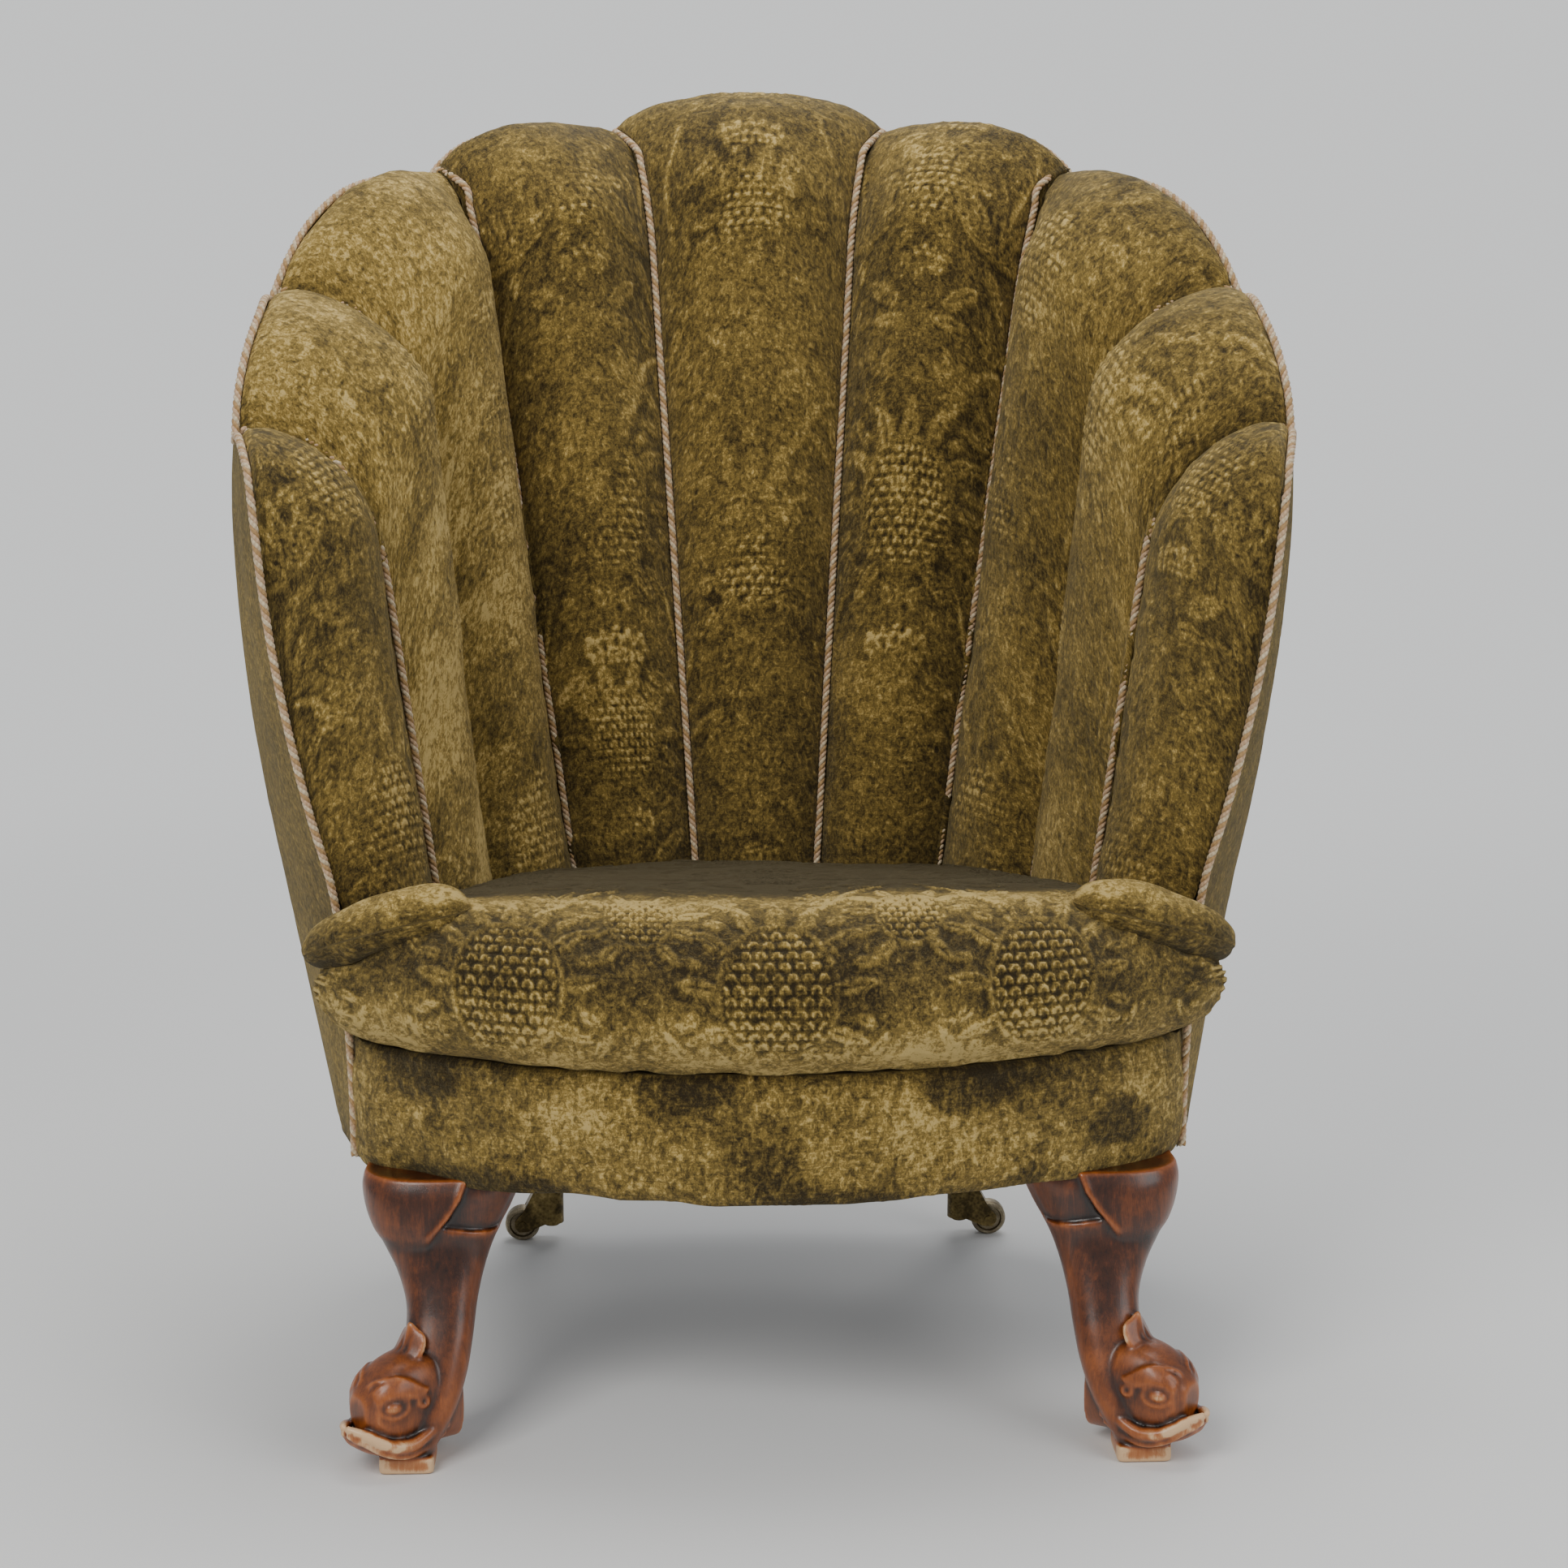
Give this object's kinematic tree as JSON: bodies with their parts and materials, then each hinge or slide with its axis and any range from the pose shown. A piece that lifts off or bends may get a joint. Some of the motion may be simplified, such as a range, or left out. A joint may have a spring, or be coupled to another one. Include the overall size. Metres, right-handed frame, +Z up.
{
  "type": "scallop back armchair",
  "caption": "Upholstered tub armchair with a scalloped channel back, corded creases, bowed seat, carved dolphin front legs and brass castors on the rear legs.",
  "frame": {"origin": "centre of the bounding box on the floor", "axes": "+Z up, the chair faces -Y, +X towards the sitter's left hand side as seen from the front on the right"},
  "size_m": [0.872, 0.7326, 1.0492],
  "materials": {
    "velvet": "cut and pressed pile velvet, olive gold",
    "velvet_plain": "plain back of the same velvet",
    "twisted_cord": "twisted cotton and silk cord",
    "hessian": "plain woven jute",
    "black_cloth": "plain woven cotton",
    "webbing": "woven jute webbing",
    "horsehair": "curled horsehair stuffing",
    "spring_steel": "coppered spring wire",
    "screw_steel": "countersunk steel",
    "old_brass": "tarnished brass",
    "mahogany": "carved, french polished mahogany",
    "beech": "sawn beech"
  },
  "bodies": {
    "chair": {"channel_middle": "velvet", "outside_back": "velvet_plain", "back_hessian": "hessian", "tacking_rails": "beech", "crest_rail": "beech", "front_border": "velvet", "front_rail": "beech", "back_rail": "beech", "corner_blocks": "beech", "seat_webbing": "webbing", "bottom_cloth": "black_cloth", "spring_hessian": "hessian", "seat_stuffing": "horsehair", "seat_springs": "spring_steel", "seat": "velvet", "back_stiles": "beech", "side_stiles": "beech", "castor_screws": "screw_steel", "channel_1_left": "velvet", "channel_1_right": "velvet", "channel_2_left": "velvet", "channel_2_right": "velvet", "channel_3_left": "velvet", "channel_3_right": "velvet", "channel_4_left": "velvet", "channel_4_right": "velvet", "crease_cord_1_left": "twisted_cord", "crease_cord_1_right": "twisted_cord", "crease_cord_2_left": "twisted_cord", "crease_cord_2_right": "twisted_cord", "crease_cord_3_left": "twisted_cord", "crease_cord_3_right": "twisted_cord", "crease_cord_4_left": "twisted_cord", "crease_cord_4_right": "twisted_cord", "arm_cord_left": "twisted_cord", "arm_cord_right": "twisted_cord", "outside_cover_left": "velvet_plain", "outside_cover_right": "velvet_plain", "arm_post_left": "beech", "arm_post_right": "beech", "arm_rail_left": "beech", "arm_rail_right": "beech", "side_rail_left": "beech", "side_rail_right": "beech", "front_leg_left": "mahogany", "front_leg_right": "mahogany", "rear_leg_left": "mahogany", "rear_leg_right": "mahogany", "arm_pad_left": "velvet", "arm_pad_right": "velvet", "castor_plate_left": "old_brass", "castor_plate_right": "old_brass", "castor_pivot_left": "old_brass", "castor_pivot_right": "old_brass"},
    "castor_horn_left": {"castor_horn_left": "old_brass", "castor_axle_left": "old_brass"},
    "castor_wheel_left": {"castor_wheel_left": "old_brass"},
    "castor_horn_right": {"castor_horn_right": "old_brass", "castor_axle_right": "old_brass"},
    "castor_wheel_right": {"castor_wheel_right": "old_brass"}
  },
  "joints": [
    {"name": "castor_swivel_left", "type": "hinge", "parent": "chair", "child": "castor_horn_left", "pos_m": [-0.19, 0.186, 0.03], "axis": [0, 0, 1], "continuous": true},
    {"name": "castor_roll_left", "type": "hinge", "parent": "castor_horn_left", "child": "castor_wheel_left", "pos_m": [-0.217, 0.186, 0.016], "axis": [0, 1, 0], "continuous": true},
    {"name": "castor_swivel_right", "type": "hinge", "parent": "chair", "child": "castor_horn_right", "pos_m": [0.19, 0.186, 0.03], "axis": [0, 0, 1], "continuous": true},
    {"name": "castor_roll_right", "type": "hinge", "parent": "castor_horn_right", "child": "castor_wheel_right", "pos_m": [0.217, 0.186, 0.016], "axis": [0, 1, 0], "continuous": true}
  ]
}
